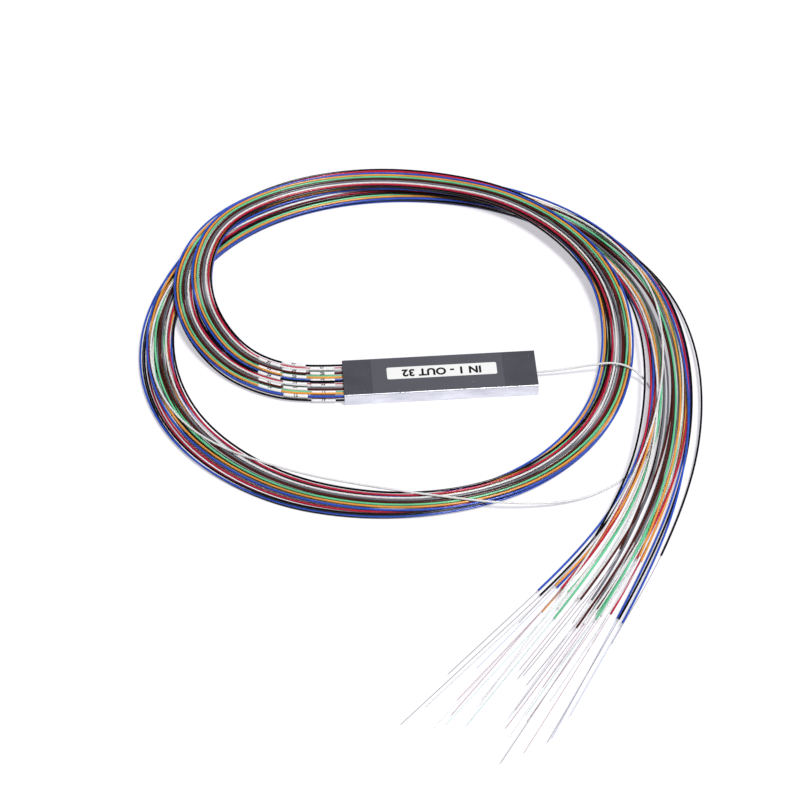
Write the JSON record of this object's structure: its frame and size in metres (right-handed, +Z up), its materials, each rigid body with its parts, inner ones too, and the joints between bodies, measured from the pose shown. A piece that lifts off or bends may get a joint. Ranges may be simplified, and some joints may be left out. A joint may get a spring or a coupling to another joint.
{
  "type": "plc fibre splitter",
  "caption": "Flat metal module that splits one fibre into a fan of loose coloured tubes, shown with the tubes in a loose ring and their bare fibre ends spread.",
  "frame": {"origin": "middle of the housing's underside", "axes": "+X along the housing towards the input end, +Y across it, +Z up out of the labelled face"},
  "size_m": [0.2323, 0.3148, 0.0089],
  "materials": {
    "housing_metal": "dark anodised, satin",
    "potting": "cured epoxy",
    "label_paper": "smooth film",
    "array_glass": "polished",
    "carrier_steel": "ground",
    "fibre_coating": "clear acrylate coating",
    "sleeve_white": "smooth",
    "tube_blue": "glossy",
    "tube_orange": "glossy",
    "tube_green": "glossy",
    "tube_brown": "glossy",
    "tube_slate": "glossy",
    "tube_white": "glossy",
    "tube_red": "glossy",
    "tube_black": "glossy"
  },
  "bodies": {
    "root": {"housing": "housing_metal", "output_seal": "potting", "input_seal": "potting", "label": "label_paper", "output_array": "array_glass", "input_array": "array_glass", "input_fibre": "fibre_coating", "chip_carrier": "carrier_steel", "splitter_chip": "array_glass", "chip_cover": "array_glass", "output_tube_01": "tube_blue", "output_tube_02": "tube_orange", "output_tube_03": "tube_green", "output_tube_04": "tube_brown", "output_tube_05": "tube_slate", "output_tube_06": "tube_white", "output_tube_07": "tube_red", "output_tube_08": "tube_black", "output_tube_09": "tube_blue", "output_tube_10": "tube_orange", "output_tube_11": "tube_green", "output_tube_12": "tube_brown", "output_tube_13": "tube_slate", "output_tube_14": "tube_white", "output_tube_15": "tube_red", "output_tube_16": "tube_black", "output_tube_17": "tube_blue", "output_tube_18": "tube_orange", "output_tube_19": "tube_green", "output_tube_20": "tube_brown", "output_tube_21": "tube_slate", "output_tube_22": "tube_white", "output_tube_23": "tube_red", "output_tube_24": "tube_black", "output_tube_25": "tube_blue", "output_tube_26": "tube_orange", "output_tube_27": "tube_green", "output_tube_28": "tube_brown", "output_tube_29": "tube_slate", "output_tube_30": "tube_white", "output_tube_31": "tube_red", "output_tube_32": "tube_black", "input_tube": "tube_white", "fan_out_fibres": "fibre_coating", "number_sleeves": "sleeve_white", "bare_fibre_ends": "fibre_coating"}
  },
  "joints": []
}
